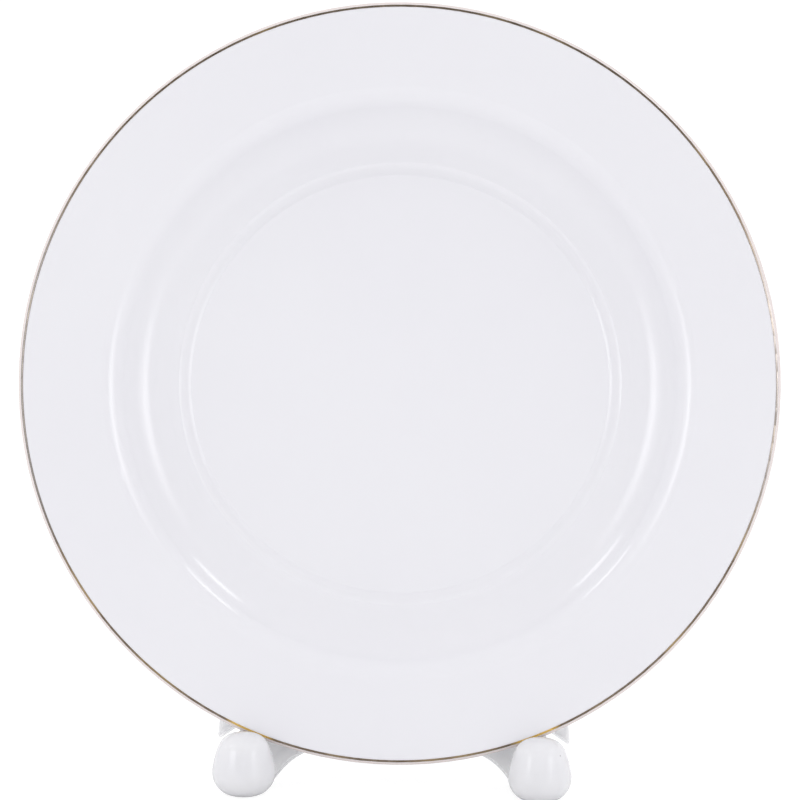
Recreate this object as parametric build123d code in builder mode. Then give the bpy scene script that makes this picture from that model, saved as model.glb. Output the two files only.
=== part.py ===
"""A china dinner plate with a gold line, leaning on a small folding display stand.

Millimetres. +Z is up, the plate faces -Y, the floor is Z = 0 and X = 0 is the middle of both the
plate and the stand. Each piece is one named solid, exported as parts/<name>.step.
"""

from build123d import *

import os
from math import atan2, cos, radians, sin, tan

# ---------------------------------------------------------------------------------------------
# Driving dimensions
# ---------------------------------------------------------------------------------------------

# The plate, glaze included. Heights run up from the bottom of the foot ring.
plate_radius = 127.0
lip_height = 23.9
lip_thickness = 3.2
lip_front_rounding = 1.9
lip_back_rounding = 1.0
rim_width = 31.55
shoulder_height = 17.6
wall_run = 8.7
band_height = 7.1
ring_groove_inset = 14.25
ring_groove_width = 4.2
ring_groove_depth = 0.55
ring_groove_rounding = 0.5
china_thickness = 4.0
glaze_thickness = 0.25

# How much of the wall's length each of its roundings takes up
foot_curve_share = 0.67
shoulder_curve_share = 0.29
back_curve_share = 0.55

# The foot ring under the plate, set in from the foot of the wall
foot_ring_inset = 11.35
foot_ring_width = 3.2
foot_ring_flare = 1.2
foot_ring_rounding = 0.9
bare_foot_width = 1.2

# The gold line, fired onto the glaze just inside the lip
gold_inset = 1.3
gold_width = 0.7
gold_proud = 0.12
gold_sunk = 0.13

# How the plate leans on the stand: where the plane of its lip meets the floor, and how high the
# lowest point of the lip is
plate_lean = 12.0
lip_plane_floor_y = -34.826
lip_above_floor = 9.175

# The stand's panel
panel_lean = 28.0
panel_depth = 5.0
panel_half_width_low = 59.0
panel_taper = 5.6
panel_height = 88.0
panel_corner = 20.0
panel_edge_rounding = 0.5
web_thickness = 4.2
border_width = 1.3

# The arch under the panel, between the feet
arch_half_width = 42.2
arch_height = 14.5
arch_side_slope = 52.0
arch_rounding = 22.0
arch_border = 4.3

# The panel's legs, and the pointed tails of its sides outside them
tail_width = 8.0
tail_tip_height = 16.4
tail_root_height = 21.8

# The feet and toes
foot_spacing_half = 49.1
saddle_inner_reach = 6.3
saddle_outer_reach = 2.0
toe_radius = 10.5
toe_height = 20.4
toe_base_radius = 5.4
toe_axis_ahead = 1.445
seat_clearance = 0.3
toe_clearance = 0.15
ring_clearance = 0.2

# The folding prop leg and its hinge
hinge_below_panel_top = 18.0
hinge_behind_panel = 4.5
knuckle_radius = 3.5
pin_radius = 1.5
pin_running_clearance = 0.05
lug_thickness = 4.0
lug_side_gap = 0.3
strut_half_width = 15.0
strut_foot_half_width = 11.0
strut_thickness = 4.0
strut_angle = 30.0
strut_recess = 1.6
strut_border = 2.4
strut_recess_top = 8.0
strut_recess_end = 12.0
heel_height = 5.0
pin_end_chamfer = 0.3

# The toe's outline from its base to its tip, as shares of its radius and height
toe_outline = [
    (0.87, 0.13),
    (1.0, 0.32),
    (0.96, 0.50),
    (0.86, 0.70),
    (0.72, 0.86),
    (0.46, 0.96),
    (0.0, 1.0),
]
# Its rise for each step out where it leaves the floor, and how far each end holds its direction
toe_base_slope = 0.15
toe_base_hold = 1.0
toe_tip_hold = 0.6

# ---------------------------------------------------------------------------------------------
# Shared frames
# ---------------------------------------------------------------------------------------------

lean_sin = sin(radians(plate_lean))
lean_cos = cos(radians(plate_lean))
panel_sin = sin(radians(panel_lean))
panel_cos = cos(radians(panel_lean))

# The plate's radii, worked in from the lip
shoulder_radius = plate_radius - rim_width
wall_foot_radius = shoulder_radius - wall_run
ring_groove_radius = wall_foot_radius - ring_groove_inset
foot_ring_outer_radius = wall_foot_radius - foot_ring_inset
foot_ring_inner_radius = foot_ring_outer_radius - foot_ring_width
foot_ring_middle = (foot_ring_outer_radius + foot_ring_inner_radius) / 2

# The plate's own plane: through the lip's front, its normal pointing out of the plate's face.
plate_centre_z = lip_above_floor + plate_radius * lean_cos
plate_centre_y = lip_plane_floor_y + plate_centre_z * lean_sin / lean_cos
plate_normal = Vector(0, -lean_cos, lean_sin)
lip_centre = Vector(0, plate_centre_y, plate_centre_z)
plate_plane = Plane(origin=lip_centre, x_dir=(1, 0, 0), z_dir=plate_normal)
foot_centre = lip_centre - plate_normal * lip_height
plate_axis = Axis(foot_centre, plate_normal)
section_plane = Plane(origin=foot_centre, x_dir=(1, 0, 0), z_dir=(0, -lean_sin, -lean_cos))

# The panel's own plane: its front face, with local Y running up the panel.
panel_normal = Vector(0, -panel_cos, panel_sin)
panel_up = Vector(0, panel_sin, panel_cos)
foot_ring_low_edge = foot_centre + Vector(0, -lean_sin, -lean_cos) * foot_ring_outer_radius
web_front = foot_ring_low_edge.dot(panel_normal) - ring_clearance
panel_front_y = (web_front + panel_depth - web_thickness) / panel_normal.Y
panel_plane = Plane(origin=(0, panel_front_y, 0), x_dir=(1, 0, 0), z_dir=panel_normal)

# ---------------------------------------------------------------------------------------------
# The plate
# ---------------------------------------------------------------------------------------------


def plate_section(growth=0.0):
    """The plate's section right across the axis, grown or shrunk evenly by growth."""
    wall_rise = shoulder_height - band_height
    wall_length = (wall_rise**2 + wall_run**2) ** 0.5
    wall_angle = atan2(wall_rise, wall_run)
    shoulder_turn = wall_angle - atan2(lip_height - shoulder_height, rim_width)
    wall_foot_rounding = foot_curve_share * wall_length / tan(wall_angle / 2)
    shoulder_rounding = shoulder_curve_share * wall_length / tan(shoulder_turn / 2)
    back_corner_rounding = back_curve_share * wall_length / tan(wall_angle / 2)
    back_out = china_thickness * wall_rise / wall_length
    back_down = china_thickness * wall_run / wall_length
    band_back = band_height - china_thickness
    wall_back_x = wall_foot_radius + back_out
    wall_back_z = band_height - back_down
    back_corner_x = wall_back_x - (wall_back_z - band_back) * wall_run / wall_rise
    shoulder_back = (shoulder_radius + back_out, shoulder_height - back_down)
    shoulder_front = (shoulder_radius, shoulder_height)
    wall_foot = (wall_foot_radius, band_height)
    back_corner = (back_corner_x, band_back)
    groove_inside = (ring_groove_radius - ring_groove_width / 2, band_height)
    groove_bottom = (ring_groove_radius, band_height - ring_groove_depth)
    groove_outside = (ring_groove_radius + ring_groove_width / 2, band_height)
    lip_front = (plate_radius, lip_height)
    lip_back = (plate_radius, lip_height - lip_thickness)
    ring_outer = (foot_ring_outer_radius, 0)
    ring_inner = (foot_ring_inner_radius, 0)
    outline = [
        groove_outside,
        wall_foot,
        shoulder_front,
        lip_front,
        lip_back,
        shoulder_back,
        back_corner,
        (foot_ring_outer_radius + foot_ring_flare, band_back),
        ring_outer,
        ring_inner,
        (foot_ring_inner_radius - foot_ring_flare, band_back),
        (0, band_back),
        (0, band_height),
        groove_inside,
    ]
    roundings = [
        (groove_inside, ring_groove_rounding),
        (groove_outside, ring_groove_rounding),
        (wall_foot, wall_foot_rounding),
        (shoulder_front, shoulder_rounding),
        (lip_front, lip_front_rounding),
        (lip_back, lip_back_rounding),
        (shoulder_back, shoulder_rounding),
        (back_corner, back_corner_rounding),
        (ring_outer, foot_ring_rounding),
        (ring_inner, foot_ring_rounding),
    ]
    with BuildSketch(Plane.XY, mode=Mode.PRIVATE) as section:
        with BuildLine():
            Polyline(*outline)
            ThreePointArc(groove_inside, groove_bottom, groove_outside)
        make_face()
        for corner, radius in roundings:
            fillet(section.vertices().sort_by_distance((corner[0], corner[1], 0))[0], radius)
        mirror(about=Plane.YZ)
        if growth:
            offset(amount=growth, kind=Kind.ARC)
        with Locations((plate_radius, 0)):
            Rectangle(2 * plate_radius, 2 * plate_radius, mode=Mode.INTERSECT)
    return section.sketch


outer_section = plate_section()
body_section = plate_section(-glaze_thickness)

with BuildSketch(mode=Mode.PRIVATE) as gold_section:
    with Locations((plate_radius - gold_inset, lip_height)):
        Rectangle(gold_width, lip_thickness)
    add(plate_section(gold_proud), mode=Mode.INTERSECT)
    add(plate_section(-gold_sunk), mode=Mode.SUBTRACT)

# The fired body: bare at the bottom of the foot ring, where it stood in the kiln.
with BuildPart() as plate_body:
    with BuildSketch(section_plane):
        add(body_section)
        with Locations((foot_ring_middle, 0)):
            Rectangle(bare_foot_width, 2 * foot_ring_rounding)
        add(outer_section, mode=Mode.INTERSECT)
    revolve(axis=plate_axis)
plate_body.part.label = "plate_body"

# The gold line: a narrow band that follows the lip, half sunk in the glaze.
with BuildPart() as gold_line:
    with BuildSketch(section_plane):
        add(gold_section.sketch)
    revolve(axis=plate_axis)
gold_line.part.label = "gold_line"

# The glaze: what lies between the body and the plate's outer surface, less the gold line's seat.
# The bare foot parts it into the main coat and the round patch inside the foot ring.
underside_limit = band_height - china_thickness / 2

with BuildPart() as plate_glaze:
    with BuildSketch(section_plane):
        add(outer_section)
        add(body_section, mode=Mode.SUBTRACT)
        with Locations((foot_ring_middle, 0)):
            Rectangle(bare_foot_width, 2 * foot_ring_rounding, mode=Mode.SUBTRACT)
        Rectangle(2 * foot_ring_middle, 2 * underside_limit, mode=Mode.SUBTRACT)
        add(gold_section.sketch, mode=Mode.SUBTRACT)
    revolve(axis=plate_axis)
plate_glaze.part.label = "plate_glaze"

with BuildPart() as underside_glaze:
    with BuildSketch(section_plane):
        add(outer_section)
        add(body_section, mode=Mode.SUBTRACT)
        with Locations((foot_ring_middle, 0)):
            Rectangle(bare_foot_width, 2 * foot_ring_rounding, mode=Mode.SUBTRACT)
        Rectangle(2 * foot_ring_middle, 2 * underside_limit, mode=Mode.INTERSECT)
    revolve(axis=plate_axis)
underside_glaze.part.label = "underside_glaze"

# ---------------------------------------------------------------------------------------------
# The stand's frame
# ---------------------------------------------------------------------------------------------

toe_y = lip_plane_floor_y - toe_axis_ahead
panel_half_width_high = panel_half_width_low - panel_taper
leg_outer_half = panel_half_width_low - tail_width
arch_slope = radians(arch_side_slope)
floor_margin = 2 * panel_depth
lip_plane = plate_plane.offset(toe_clearance)


def arch_outline(growth=0.0):
    """The low, flat-topped arch between the feet, grown outwards by growth."""
    with BuildSketch(Plane.XY, mode=Mode.PRIVATE) as outline:
        with BuildLine():
            Polyline(
                (-arch_half_width - floor_margin / tan(arch_slope), -floor_margin),
                (-arch_half_width + arch_height / tan(arch_slope), arch_height),
                (arch_half_width - arch_height / tan(arch_slope), arch_height),
                (arch_half_width + floor_margin / tan(arch_slope), -floor_margin),
                close=True,
            )
        make_face()
        fillet(outline.vertices().group_by(Axis.Y)[-1], arch_rounding)
        if growth:
            offset(amount=growth, kind=Kind.ARC)
    return outline.sketch


def panel_outline(inset=0.0):
    """The panel's outline without the arch: a little narrower at its rounded top."""
    with BuildSketch(Plane.XY, mode=Mode.PRIVATE) as outline:
        with BuildLine():
            Polyline(
                (-leg_outer_half, -floor_margin),
                (leg_outer_half, -floor_margin),
                (leg_outer_half, tail_root_height),
                (panel_half_width_low, tail_tip_height),
                (panel_half_width_high, panel_height),
                (-panel_half_width_high, panel_height),
                (-panel_half_width_low, tail_tip_height),
                (-leg_outer_half, tail_root_height),
                close=True,
            )
        make_face()
        fillet(outline.vertices().group_by(Axis.Y)[-1], panel_corner)
        if inset:
            offset(amount=-inset, kind=Kind.ARC)
    return outline.sketch


def foot_profile():
    """A foot's side view: from the toe's back face to inside the panel, as high as the toe."""
    panel_middle_y = panel_front_y + panel_depth / 2 / panel_cos
    toe_back_y = lip_plane_floor_y - toe_clearance / lean_cos
    with BuildSketch(Plane.XY, mode=Mode.PRIVATE) as profile:
        with BuildLine():
            Polyline(
                (toe_back_y, 0),
                (panel_middle_y, 0),
                (panel_middle_y + toe_height * panel_sin / panel_cos, toe_height),
                (toe_back_y + toe_height * lean_sin / lean_cos, toe_height),
                close=True,
            )
        make_face()
    return profile.sketch


with BuildPart() as feet:
    for side in (-1, 1):
        # The saddle that the lip sits on, mostly on the toe's inner side
        saddle_middle = foot_spacing_half - (saddle_inner_reach - saddle_outer_reach) / 2
        with BuildSketch(Plane.YZ.offset(side * saddle_middle)):
            add(foot_profile())
        extrude(amount=(saddle_inner_reach + saddle_outer_reach) / 2, both=True)
        # The toe: a thimble with a full belly and a domed top
        toe_foot = Vector(side * foot_spacing_half, toe_y, 0)
        with BuildSketch(Plane(origin=toe_foot, x_dir=(1, 0, 0), z_dir=(0, -1, 0))):
            with BuildLine():
                bulb = Spline(
                    (toe_base_radius, 0),
                    *[(out * toe_radius, up * toe_height) for out, up in toe_outline],
                    tangents=[(1, toe_base_slope), (-1, 0)],
                    tangent_scalars=[toe_base_hold, toe_tip_hold],
                )
                Line(bulb @ 1, (0, 0))
                Line((0, 0), bulb @ 0)
            make_face()
        revolve(axis=Axis(toe_foot, (0, 0, 1)))
    # The room for the lip: a disc concentric with the plate, open to the back
    with BuildSketch(lip_plane):
        Circle(plate_radius + seat_clearance)
    extrude(amount=-2 * plate_radius, mode=Mode.SUBTRACT)

# The hinge's axis lies behind the panel. Its plane looks along the axis, with local X towards
# the panel.
hinge_up_panel = panel_height - hinge_below_panel_top
hinge_centre = (
    panel_plane.origin
    + panel_up * hinge_up_panel
    - panel_normal * (panel_depth + hinge_behind_panel)
)
hinge_plane = Plane(origin=hinge_centre, x_dir=panel_normal, z_dir=(-1, 0, 0))
lug_middle = strut_half_width + lug_side_gap + lug_thickness / 2

with BuildPart() as stand_frame:
    # The panel: a web with a raised border all round its front
    with BuildSketch(panel_plane):
        add(panel_outline())
        add(arch_outline(), mode=Mode.SUBTRACT)
    extrude(amount=-panel_depth)
    fillet(stand_frame.edges(), panel_edge_rounding)
    with BuildSketch(panel_plane):
        add(panel_outline(border_width))
        add(arch_outline(arch_border), mode=Mode.SUBTRACT)
    extrude(amount=-(panel_depth - web_thickness), mode=Mode.SUBTRACT)
    add(feet.part)
    # Two lugs on the panel's back carry the hinge pin
    for side in (-1, 1):
        with BuildSketch(hinge_plane.offset(-side * lug_middle - lug_thickness / 2)):
            Circle(knuckle_radius)
            Rectangle(
                hinge_behind_panel + web_thickness / 2,
                2 * knuckle_radius,
                align=(Align.MIN, Align.CENTER),
            )
            Circle(pin_radius, mode=Mode.SUBTRACT)
        extrude(amount=lug_thickness)
    # Flat to stand on
    with Locations((0, 0, -plate_radius)):
        Box(4 * plate_radius, 4 * plate_radius, 2 * plate_radius, mode=Mode.SUBTRACT)
stand_frame.part.label = "stand_frame"

# ---------------------------------------------------------------------------------------------
# The prop leg and its pin
# ---------------------------------------------------------------------------------------------

strut_sin = sin(radians(strut_angle))
strut_cos = cos(radians(strut_angle))
strut_back = Vector(0, strut_cos, strut_sin)
strut_back_top = hinge_centre + strut_back * (strut_thickness / 2)
strut_plane = Plane(origin=strut_back_top, x_dir=(1, 0, 0), z_dir=strut_back)
strut_length = (hinge_centre.Z + strut_thickness) / strut_cos

with BuildPart() as rear_strut:
    with BuildSketch(hinge_plane):
        Circle(knuckle_radius)
        # The heel that stops the leg against the panel's back
        Rectangle(hinge_behind_panel - seat_clearance, heel_height, align=(Align.MIN, Align.MIN))
    extrude(amount=strut_half_width, both=True)
    with BuildSketch(strut_plane):
        with BuildLine():
            Polyline(
                (-strut_half_width, 0),
                (strut_half_width, 0),
                (strut_foot_half_width, strut_length),
                (-strut_foot_half_width, strut_length),
                close=True,
            )
        make_face()
    extrude(amount=-strut_thickness)
    with BuildSketch(strut_plane):
        with BuildLine():
            Polyline(
                (-strut_half_width + strut_border, strut_recess_top),
                (strut_half_width - strut_border, strut_recess_top),
                (strut_foot_half_width - strut_border, strut_length - strut_recess_end),
                (-strut_foot_half_width + strut_border, strut_length - strut_recess_end),
                close=True,
            )
        make_face()
    extrude(amount=-strut_recess, mode=Mode.SUBTRACT)
    with BuildSketch(hinge_plane):
        Circle(pin_radius + pin_running_clearance)
    extrude(amount=strut_half_width, both=True, mode=Mode.SUBTRACT)
    with Locations((0, 0, -plate_radius)):
        Box(4 * plate_radius, 4 * plate_radius, 2 * plate_radius, mode=Mode.SUBTRACT)
rear_strut.part.label = "rear_strut"

with BuildPart() as hinge_pin:
    with BuildSketch(hinge_plane):
        Circle(pin_radius)
    extrude(amount=lug_middle + lug_thickness / 2, both=True)
    chamfer(hinge_pin.edges().filter_by(GeomType.CIRCLE), pin_end_chamfer)
hinge_pin.part.label = "hinge_pin"

plate_pieces = (plate_body, plate_glaze, underside_glaze, gold_line)
stand_pieces = (stand_frame, rear_strut, hinge_pin)

os.makedirs("parts", exist_ok=True)
for piece in plate_pieces + stand_pieces:
    export_step(piece.part, f"parts/{piece.part.label}.step")
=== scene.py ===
import math

import bpy
from mathutils import Matrix, Vector

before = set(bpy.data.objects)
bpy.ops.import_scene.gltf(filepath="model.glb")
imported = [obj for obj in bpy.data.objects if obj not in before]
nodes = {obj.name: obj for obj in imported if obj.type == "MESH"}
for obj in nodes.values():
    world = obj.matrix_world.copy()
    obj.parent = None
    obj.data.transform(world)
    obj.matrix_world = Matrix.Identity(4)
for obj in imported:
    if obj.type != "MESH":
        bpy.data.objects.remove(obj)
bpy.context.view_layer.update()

# ---------------------------------------------------------------------------------------------
# Places, in metres: how the plate leans, and where its face is
# ---------------------------------------------------------------------------------------------

LEAN = math.radians(12.0)
FACE = Vector((0.0, -math.cos(LEAN), math.sin(LEAN)))
UP_FACE = Vector((0.0, math.sin(LEAN), math.cos(LEAN)))
ACROSS = Vector((1.0, 0.0, 0.0))
LIP_CENTRE = Vector((0.0, -0.006471, 0.1334))
PLATE_RADIUS = 0.127
TOE_X = 0.0475
PANEL_FRONT_Y = -0.026


# ---------------------------------------------------------------------------------------------
# Helpers for node graphs
# ---------------------------------------------------------------------------------------------


def grey(v):
    return (v, v, v, 1.0)


class Graph:
    """A node tree with short helpers for building it."""

    def __init__(self, tree):
        self.tree = tree

    def node(self, kind, **values):
        """A new node. Each value goes to the input of that name, or else to the node's own setting."""
        n = self.tree.nodes.new(kind)
        for key, value in values.items():
            if key in n.inputs:
                n.inputs[key].default_value = value
            else:
                setattr(n, key, value)
        return n

    def link(self, a, b):
        self.tree.links.new(a, b)

    def vector(self, operation, a, b):
        """A vector sum: a is a socket, and b is a socket or a fixed vector."""
        m = self.node("ShaderNodeVectorMath", operation=operation)
        self.link(a, m.inputs[0])
        if isinstance(b, (tuple, Vector)):
            m.inputs[1].default_value = b
        else:
            self.link(b, m.inputs[1])
        return m.outputs["Value" if operation == "DOT_PRODUCT" else "Vector"]

    def math(self, operation, a, b=0.0):
        m = self.node("ShaderNodeMath", operation=operation)
        for i, value in enumerate((a, b)):
            if isinstance(value, (int, float)):
                m.inputs[i].default_value = value
            else:
                self.link(value, m.inputs[i])
        return m.outputs[0]

    def remap(self, value, low, high, to_low, to_high):
        m = self.node("ShaderNodeMapRange")
        for i, v in enumerate((low, high, to_low, to_high), start=1):
            m.inputs[i].default_value = v
        self.link(value, m.inputs[0])
        return m.outputs[0]

    def split(self, vector):
        n = self.node("ShaderNodeSeparateXYZ")
        self.link(vector, n.inputs[0])
        return n.outputs

    def mix_shader(self, factor, a, b):
        n = self.node("ShaderNodeMixShader")
        if isinstance(factor, float):
            n.inputs[0].default_value = factor
        else:
            self.link(factor, n.inputs[0])
        self.link(a, n.inputs[1])
        self.link(b, n.inputs[2])
        return n.outputs[0]


class Mat(Graph):
    """A node material around its Principled BSDF."""

    def __init__(self, name):
        self.mat = bpy.data.materials.new(name)
        self.mat.use_nodes = True
        super().__init__(self.mat.node_tree)
        self.bsdf = self.tree.nodes["Principled BSDF"]

    def set(self, **values):
        for key, value in values.items():
            self.bsdf.inputs[key.replace("_", " ")].default_value = value

    def object_coords(self):
        return self.node("ShaderNodeTexCoord").outputs["Object"]

    def plate_coords(self):
        """Object coordinates turned into the plate's own frame: X across, Y up the face, Z out of it."""
        shifted = self.vector("SUBTRACT", self.object_coords(), LIP_CENTRE)
        turn = self.node("ShaderNodeVectorRotate", rotation_type="X_AXIS", Angle=LEAN - math.radians(90.0))
        self.link(shifted, turn.inputs["Vector"])
        return turn.outputs["Vector"]

    def noise(self, coords, scale, detail=3.0, rough=0.5):
        n = self.node("ShaderNodeTexNoise", Scale=scale, Detail=detail, Roughness=rough)
        self.link(coords, n.inputs["Vector"])
        return n.outputs["Fac"]

    def ramp(self, value, stops):
        """A colour ramp with two stops."""
        r = self.node("ShaderNodeValToRGB")
        for element, (position, color) in zip(r.color_ramp.elements, stops):
            element.position = position
            element.color = color
        self.link(value, r.inputs["Fac"])
        return r.outputs["Color"]

    def specks(self, coords, scale, size, share):
        """1 inside small round specks, in the given share of a Voronoi pattern's cells, and 0 elsewhere."""
        cells = self.node("ShaderNodeTexVoronoi", Scale=scale, Randomness=1.0)
        self.link(coords, cells.inputs["Vector"])
        inside = self.math("LESS_THAN", cells.outputs["Distance"], size)
        pick = self.node("ShaderNodeSeparateColor")
        self.link(cells.outputs["Color"], pick.inputs[0])
        return self.math("MULTIPLY", inside, self.math("GREATER_THAN", pick.outputs[0], 1.0 - share))

    def mix(self, factor, a, b):
        """The colour a where the factor is 0, and b where it is 1."""
        m = self.node("ShaderNodeMix", data_type="RGBA")
        for socket, value in (("Factor", factor), ("A", a), ("B", b)):
            inp = [i for i in m.inputs if i.name == socket and i.enabled][0]
            if isinstance(value, (int, float, tuple)):
                inp.default_value = value
            else:
                self.link(value, inp)
        return [o for o in m.outputs if o.enabled][0]

    def bump(self, height, strength, distance):
        b = self.node("ShaderNodeBump", Strength=strength, Distance=distance)
        self.link(height, b.inputs["Height"])
        self.link(b.outputs["Normal"], self.bsdf.inputs["Normal"])


def put(names, mat):
    for name in names:
        node = nodes[name]
        if not node.data.materials:
            node.data.materials.append(mat.mat)
        for slot in node.material_slots:
            slot.material = mat.mat


# ---------------------------------------------------------------------------------------------
# Glaze: clear over white china, very faintly lavender, with pinholes and iron specks
# ---------------------------------------------------------------------------------------------

glaze = Mat("china_glaze")
at = glaze.plate_coords()
cloud = glaze.noise(at, 9.0, 4.0, 0.55)
tint = glaze.ramp(cloud, [(0.35, (0.835, 0.832, 0.868, 1)), (0.65, (0.848, 0.846, 0.878, 1))])
in_plane = glaze.vector("MULTIPLY", at, (1.0, 1.0, 0.0))
radius = glaze.math("SQRT", glaze.vector("DOT_PRODUCT", in_plane, in_plane))
# The lip, just outside the gold line, is tinted a warm peach
lip_band = glaze.remap(radius, PLATE_RADIUS - 0.0011, PLATE_RADIUS - 0.0006, 0.0, 1.0)
tint = glaze.mix(lip_band, tint, (0.80, 0.715, 0.69, 1))
tint = glaze.mix(glaze.specks(at, 42.0, 0.012, 0.1), tint, (0.35, 0.26, 0.2, 1))
glaze.link(tint, glaze.bsdf.inputs["Base Color"])
glaze.link(glaze.remap(glaze.noise(at, 30.0), 0.3, 0.7, 0.07, 0.12), glaze.bsdf.inputs["Roughness"])
glaze.set(IOR=1.5, Specular_IOR_Level=0.5)
ripple = glaze.noise(at, 26.0, 2.0, 0.4)
glaze.bump(ripple, 0.1, 0.0002)
put(["plate_glaze", "underside_glaze"], glaze)

# ---------------------------------------------------------------------------------------------
# Bare china: the foot ring's unglazed edge
# ---------------------------------------------------------------------------------------------

bare = Mat("bare_china")
at = bare.plate_coords()
grain = bare.noise(at, 900.0, 4.0, 0.6)
tint = bare.ramp(grain, [(0.3, (0.78, 0.74, 0.67, 1)), (0.7, (0.86, 0.83, 0.78, 1))])
bare.link(tint, bare.bsdf.inputs["Base Color"])
bare.link(bare.remap(grain, 0.3, 0.7, 0.5, 0.68), bare.bsdf.inputs["Roughness"])
bare.bump(grain, 0.25, 0.0001)
put(["plate_body"], bare)

# ---------------------------------------------------------------------------------------------
# The gold line: uneven, and dark partly with age and partly as painted shade for the dark room it mirrors;
# painted reflections make it bright over the stand's toes and paler at the sides
# ---------------------------------------------------------------------------------------------

gold = Mat("gold")
at = gold.plate_coords()
wear = gold.noise(at, 260.0, 4.0, 0.6)
# Painted shade: this base is much darker than true gold and stands in for the dark room the gold mirrors.
# The noise varies it like wear.
worn_and_painted_dark = gold.ramp(wear, [(0.3, (0.14, 0.105, 0.075, 1)), (0.7, (0.25, 0.2, 0.15, 1))])
thick = gold.remap(gold.noise(at, 34.0, 2.0, 0.5), 0.52, 0.66, 0.0, 0.6)
gold_tone_with_painted_reflection = gold.mix(thick, worn_and_painted_dark, (0.56, 0.41, 0.2, 1))
across, up_face = gold.split(at)[:2]
# Painted reflection: on the lower half, over the stand's toes, the gold is made bright warm gold, standing
# in for the toes' bright tops it mirrors
from_toe = gold.math("ABSOLUTE", gold.math("SUBTRACT", gold.math("ABSOLUTE", across), TOE_X))
toe_band_for_painted_reflection = gold.remap(from_toe, 0.005, 0.0085, 1.0, 0.0)
# Painted reflection: paler at the right and greyer at the left, standing in for the bright sides the gold
# mirrors there
right_painted_reflection = gold.remap(across, 0.112, 0.123, 0.0, 0.65)
gold_tone_with_painted_reflection = gold.mix(right_painted_reflection, gold_tone_with_painted_reflection, (0.42, 0.39, 0.38, 1))
left_painted_reflection = gold.remap(across, -0.108, -0.12, 0.0, 0.85)
gold_tone_with_painted_reflection = gold.mix(left_painted_reflection, gold_tone_with_painted_reflection, (0.2, 0.185, 0.175, 1))
low_side = gold.math("LESS_THAN", up_face, 0.0)
painted_toe_reflection = gold.math("MULTIPLY", toe_band_for_painted_reflection, low_side)
gold.link(gold.mix(painted_toe_reflection, gold_tone_with_painted_reflection, (0.78, 0.52, 0.15, 1)), gold.bsdf.inputs["Base Color"])
gold.link(gold.remap(wear, 0.3, 0.7, 0.16, 0.3), gold.bsdf.inputs["Roughness"])
gold.set(Metallic=1.0)
gold.bump(wear, 0.15, 0.0001)
put(["gold_line"], gold)

# ---------------------------------------------------------------------------------------------
# Stand: glossy white moulded plastic
# ---------------------------------------------------------------------------------------------

plastic = Mat("stand_plastic")
at = plastic.object_coords()
flow = plastic.noise(at, 55.0, 3.0, 0.5)
plastic_tone = plastic.ramp(flow, [(0.3, (0.705, 0.705, 0.73, 1)), (0.7, (0.735, 0.735, 0.755, 1))])
painted_lit_panel_tone = plastic.ramp(flow, [(0.3, (0.81, 0.815, 0.835, 1)), (0.7, (0.83, 0.835, 0.85, 1))])
# The panel and the leg are slim and let light through, but their paler colour than the toes is painted light
# that lifts them out of the plate's shade
depth = plastic.split(at)[1]
painted_panel_light_mask = plastic.remap(depth, PANEL_FRONT_Y - 0.003, PANEL_FRONT_Y + 0.003, 0.0, 1.0)
tint = plastic.mix(painted_panel_light_mask, plastic_tone, painted_lit_panel_tone)
tint = plastic.mix(plastic.specks(at, 160.0, 0.05, 0.07), tint, (0.42, 0.41, 0.42, 1))
plastic.link(tint, plastic.bsdf.inputs["Base Color"])
plastic.link(plastic.remap(flow, 0.3, 0.7, 0.1, 0.16), plastic.bsdf.inputs["Roughness"])
plastic.set(IOR=1.46, Subsurface_Weight=1.0, Subsurface_Radius=(1.0, 1.0, 1.0), Subsurface_Scale=0.022)
plastic.bump(plastic.noise(at, 90.0, 2.0, 0.5), 0.08, 0.0004)
put(["stand_frame", "rear_strut"], plastic)

steel = Mat("pin_metal")
at = steel.object_coords()
drawn = steel.noise(at, 700.0, 3.0, 0.6)
steel.link(steel.ramp(drawn, [(0.3, grey(0.55)), (0.7, grey(0.7))]), steel.bsdf.inputs["Base Color"])
steel.link(steel.remap(drawn, 0.3, 0.7, 0.2, 0.38), steel.bsdf.inputs["Roughness"])
steel.set(Metallic=1.0)
put(["hinge_pin"], steel)

# ---------------------------------------------------------------------------------------------
# Stage: a white table and backdrop, soft light, and the camera square onto the plate's face
# ---------------------------------------------------------------------------------------------

TABLE_GLOW = 1.15
TABLE_SHARE = 0.25
ROOM_AHEAD = 0.56
ROOM_SIDES = 1.09
ROOM_BEHIND = 0.9

bpy.ops.mesh.primitive_plane_add(size=6.0, location=(0, 1.5, 0))
floor = bpy.context.object
floor.name = "floor"
table = Mat("table")
at = table.object_coords()
weave = table.noise(at, 40.0, 3.0, 0.6)
table.link(table.ramp(weave, [(0.3, grey(0.94)), (0.7, grey(0.965))]), table.bsdf.inputs["Base Color"])
table.set(Roughness=0.7, Specular_IOR_Level=0.1)
# Seen straight by the camera the table is a white sweep that keeps the object's shadow
glow = table.node("ShaderNodeEmission", Color=grey(TABLE_GLOW), Strength=1.0)
lit = table.bsdf.outputs[0]
seen = table.mix_shader(TABLE_SHARE, glow.outputs[0], lit)
straight = table.node("ShaderNodeLightPath").outputs["Is Camera Ray"]
surface = table.mix_shader(straight, lit, seen)
table.link(surface, table.tree.nodes["Material Output"].inputs["Surface"])
floor.data.materials.append(table.mat)

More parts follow.
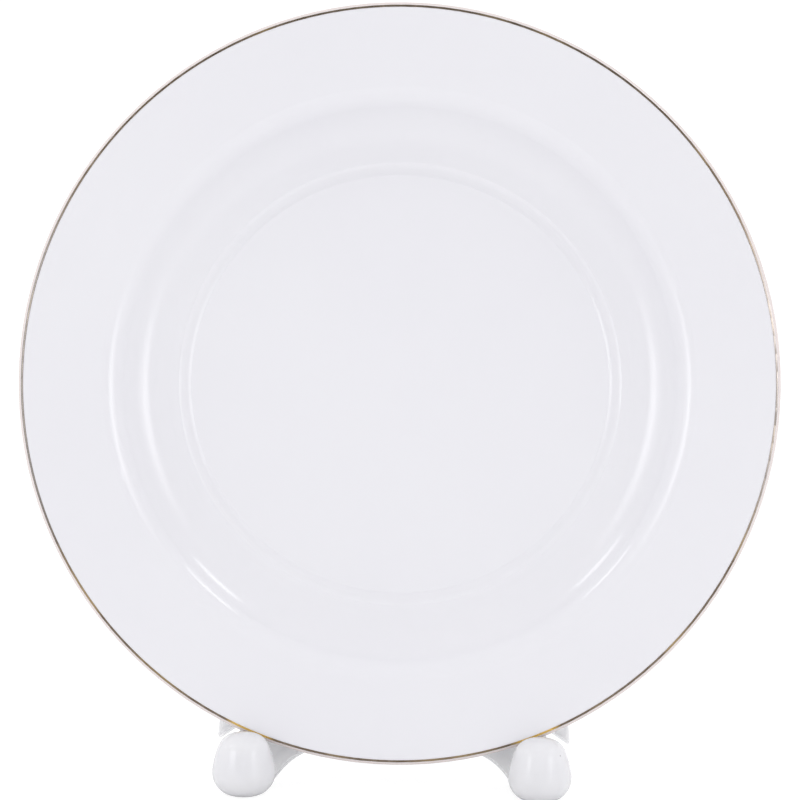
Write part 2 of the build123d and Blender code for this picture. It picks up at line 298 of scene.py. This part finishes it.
# The backdrop behind the plate is white. The room is brightest to the sides and dimmest straight
# ahead of the plate, so that the walls of its well are lit as evenly as its floor
world = bpy.data.worlds.new("studio")
bpy.context.scene.world = world
world.use_nodes = True
world.node_tree.nodes.clear()
sky = Graph(world.node_tree)
ray = sky.node("ShaderNodeTexCoord").outputs["Generated"]
path = sky.node("ShaderNodeLightPath").outputs
ahead = sky.vector("DOT_PRODUCT", ray, FACE)
front_half = sky.remap(ahead, 0.2, 1.0, ROOM_SIDES, ROOM_AHEAD)
back_half = sky.remap(ahead, -0.3, 0.1, ROOM_BEHIND, 1.0)
room = sky.node("ShaderNodeBackground", Color=(0.99, 0.985, 1.0, 1.0))
sky.link(sky.math("MULTIPLY", front_half, back_half), room.inputs["Strength"])
behind = sky.remap(sky.split(ray)[1], 0.0, 0.25, 0.0, 1.0)
mirrored = sky.math("MAXIMUM", path["Is Glossy Ray"], path["Is Transmission Ray"])
is_white = sky.math("MAXIMUM", path["Is Camera Ray"], sky.math("MULTIPLY", mirrored, behind))
white = sky.node("ShaderNodeBackground", Color=grey(1.0), Strength=1.0)
out = sky.node("ShaderNodeOutputWorld")
sky.link(sky.mix_shader(is_white, room.outputs[0], white.outputs[0]), out.inputs[0])


def softbox(name, off_axis, azimuth, distance, width, height, radiance, falloff):
    """An area light that faces the plate, off_axis degrees from the plate's normal, brightest in its middle.

    Its width lies towards the plate's normal and its height round it.
    """
    a = math.radians(off_axis)
    z = math.radians(azimuth)
    side = ACROSS * math.cos(z) + UP_FACE * math.sin(z)
    direction = FACE * math.cos(a) + side * math.sin(a)
    data = bpy.data.lights.new(name, "AREA")
    data.shape = "RECTANGLE"
    data.size = width
    data.size_y = height
    data.energy = radiance * math.pi * width * height
    light = bpy.data.objects.new(name, data)
    bpy.context.scene.collection.objects.link(light)
    light.location = LIP_CENTRE + direction * distance
    outward = side * math.cos(a) - FACE * math.sin(a)
    turn = Matrix((outward, direction.cross(outward), direction)).transposed()
    light.rotation_euler = turn.to_euler()
    # The light falls off as a bell curve from the box's middle, by how far a spot is across and along it
    data.use_nodes = True
    box = Graph(data.node_tree)
    spot = box.node("ShaderNodeNewGeometry").outputs["Position"]
    to_spot = box.vector("SUBTRACT", spot, light.location)
    across = box.vector("DOT_PRODUCT", to_spot, turn.col[0] * (falloff[0] / width))
    along = box.vector("DOT_PRODUCT", to_spot, turn.col[1] * (falloff[1] / height))
    far = box.math("ADD", box.math("MULTIPLY", across, across), box.math("MULTIPLY", along, along))
    bell = box.math("EXPONENT", box.math("MULTIPLY", far, -1.0))
    box.link(bell, box.tree.nodes["Emission"].inputs["Strength"])


# Tall boxes to the left and right make the long highlights, with a weaker pair outside them for
# the highlights' soft sides. Two small ones, high up and almost in the plate's plane, make the
# short strokes low on the well's wall
softbox("box_left", 43, 173, 1.4, 0.46, 1.4, 3.3, (2.6, 3.6))
softbox("box_right", 43, 7, 1.4, 0.46, 1.4, 3.3, (2.6, 3.6))
softbox("fill_left", 53, 173, 1.4, 0.4, 1.2, 0.9, (2.0, 3.2))
softbox("fill_right", 53, 7, 1.4, 0.4, 1.2, 0.9, (2.0, 3.2))
softbox("stroke_left", 77, 140, 1.3, 0.2, 0.3, 3.6, (1.2, 1.6))
softbox("stroke_right", 77, 50, 1.3, 0.2, 0.3, 4.0, (1.2, 1.6))

# The camera looks along the plate's normal, about two degrees from the right and rolled one degree
DISTANCE = 1.3
YAW = math.radians(1.8)
ROLL = math.radians(0.95)
PICTURE_PIXELS = 800.0
PLATE_PIXELS = 382.0
MIDDLE_ABOVE_PIXELS = 16.5
MIDDLE_LEFT_PIXELS = 1.9
SENSOR = 36.0
metres_per_pixel = PLATE_RADIUS / PLATE_PIXELS
sight = FACE * math.cos(YAW) + ACROSS * math.sin(YAW)
target = LIP_CENTRE - UP_FACE * (MIDDLE_ABOVE_PIXELS * metres_per_pixel)
target += ACROSS * (MIDDLE_LEFT_PIXELS * metres_per_pixel)
camera_data = bpy.data.cameras.new("camera")
camera_data.sensor_width = SENSOR
camera_data.lens = DISTANCE / metres_per_pixel * SENSOR / PICTURE_PIXELS
camera_data.clip_start = 0.05
camera = bpy.data.objects.new("camera", camera_data)
bpy.context.scene.collection.objects.link(camera)
right = UP_FACE.cross(sight).normalized()
up = sight.cross(right).normalized()
roll = Matrix.Rotation(ROLL, 3, sight)
basis = Matrix((right, up, sight)).transposed()
camera.matrix_world = Matrix.Translation(target + sight * DISTANCE) @ (roll @ basis).to_4x4()
bpy.context.scene.camera = camera
bpy.context.scene.view_settings.view_transform = "Standard"
